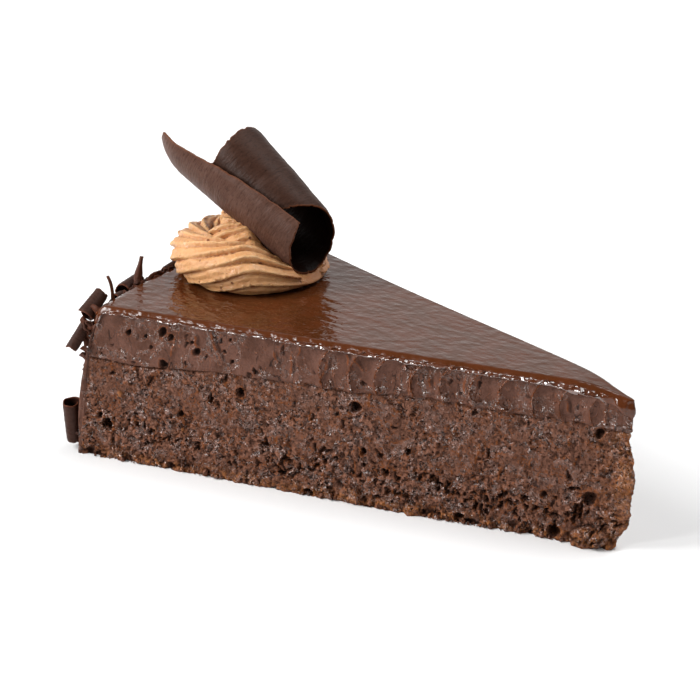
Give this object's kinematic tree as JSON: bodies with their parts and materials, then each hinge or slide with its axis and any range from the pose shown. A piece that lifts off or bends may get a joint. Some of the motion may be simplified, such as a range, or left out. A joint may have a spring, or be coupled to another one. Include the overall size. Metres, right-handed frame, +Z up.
{
  "type": "chocolate cake slice",
  "caption": "Wedge slice of layered chocolate torte with a glossy glaze, a piped cream rosette, a large chocolate curl on top and small curls on the rim.",
  "frame": {"origin": "on the slice's underside, half the cake's radius from the cake's centre along the slice's middle", "axes": "+X from the rim towards the slice's tip, +Z up, so +Y is on the left looking from the rim to the tip"},
  "size_m": [0.1313, 0.0696, 0.0681],
  "materials": {
    "cake": "dense moist chocolate cake, open crumb at the cut faces",
    "mousse": "smooth set chocolate mousse, satin",
    "glaze": "poured chocolate glaze, glossy",
    "cream": "piped coffee-brown buttercream, soft matte",
    "chocolate": "dark chocolate shavings, finely streaked, matte"
  },
  "bodies": {
    "root": {"cake_layer": "cake", "mousse_layer": "mousse", "glaze_layer": "glaze", "rosette": "cream", "large_curl": "chocolate", "rim_curl_01": "chocolate", "rim_curl_02": "chocolate", "rim_curl_03": "chocolate", "rim_curl_04": "chocolate", "rim_curl_05": "chocolate", "rim_curl_06": "chocolate", "rim_curl_07": "chocolate", "rim_curl_08": "chocolate", "rim_curl_09": "chocolate", "rim_curl_10": "chocolate", "rim_curl_11": "chocolate", "rim_curl_12": "chocolate", "rim_curl_13": "chocolate", "rim_curl_14": "chocolate", "rim_curl_15": "chocolate", "rim_curl_16": "chocolate", "rim_curl_17": "chocolate"}
  },
  "joints": []
}
